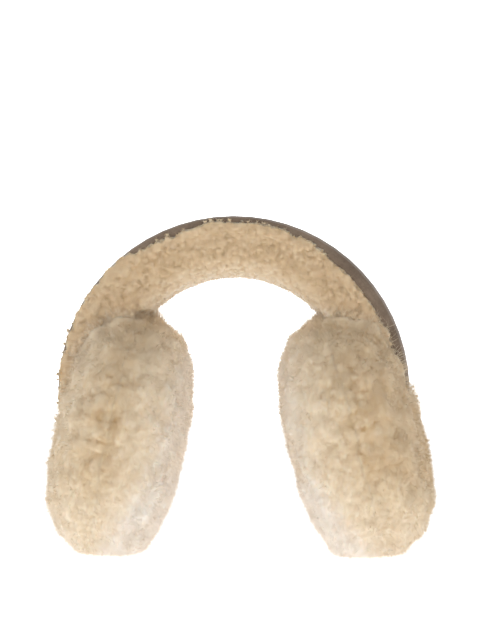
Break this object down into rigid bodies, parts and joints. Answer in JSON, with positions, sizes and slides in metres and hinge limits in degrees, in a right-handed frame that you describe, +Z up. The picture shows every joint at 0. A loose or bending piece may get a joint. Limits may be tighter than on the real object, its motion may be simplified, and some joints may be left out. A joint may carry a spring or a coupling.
{
  "type": "fur earmuffs",
  "caption": "Sheepskin earmuffs with thick oval shearling ear pads and a wide suede headband lined with shearling wool",
  "frame": {"origin": "on the surface that the pads stand on, in the middle of the earmuffs", "axes": "+X runs from the left pad to the right pad as the picture shows them, +Y from front to back of the head, +Z up to the top of the headband"},
  "size_m": [0.2027, 0.1169, 0.1765],
  "materials": {
    "suede": "matte napped suede, taupe brown",
    "shearling_lining": "curly cream shearling wool, a little warmer and denser",
    "shearling": "fluffy cream shearling wool in small curled locks"
  },
  "bodies": {
    "root": {"headband_suede_cover": "suede", "headband_shearling_lining": "shearling_lining", "left_pad_inner_shearling": "shearling", "left_pad_outer_shearling": "shearling", "right_pad_inner_shearling": "shearling", "right_pad_outer_shearling": "shearling"}
  },
  "joints": []
}
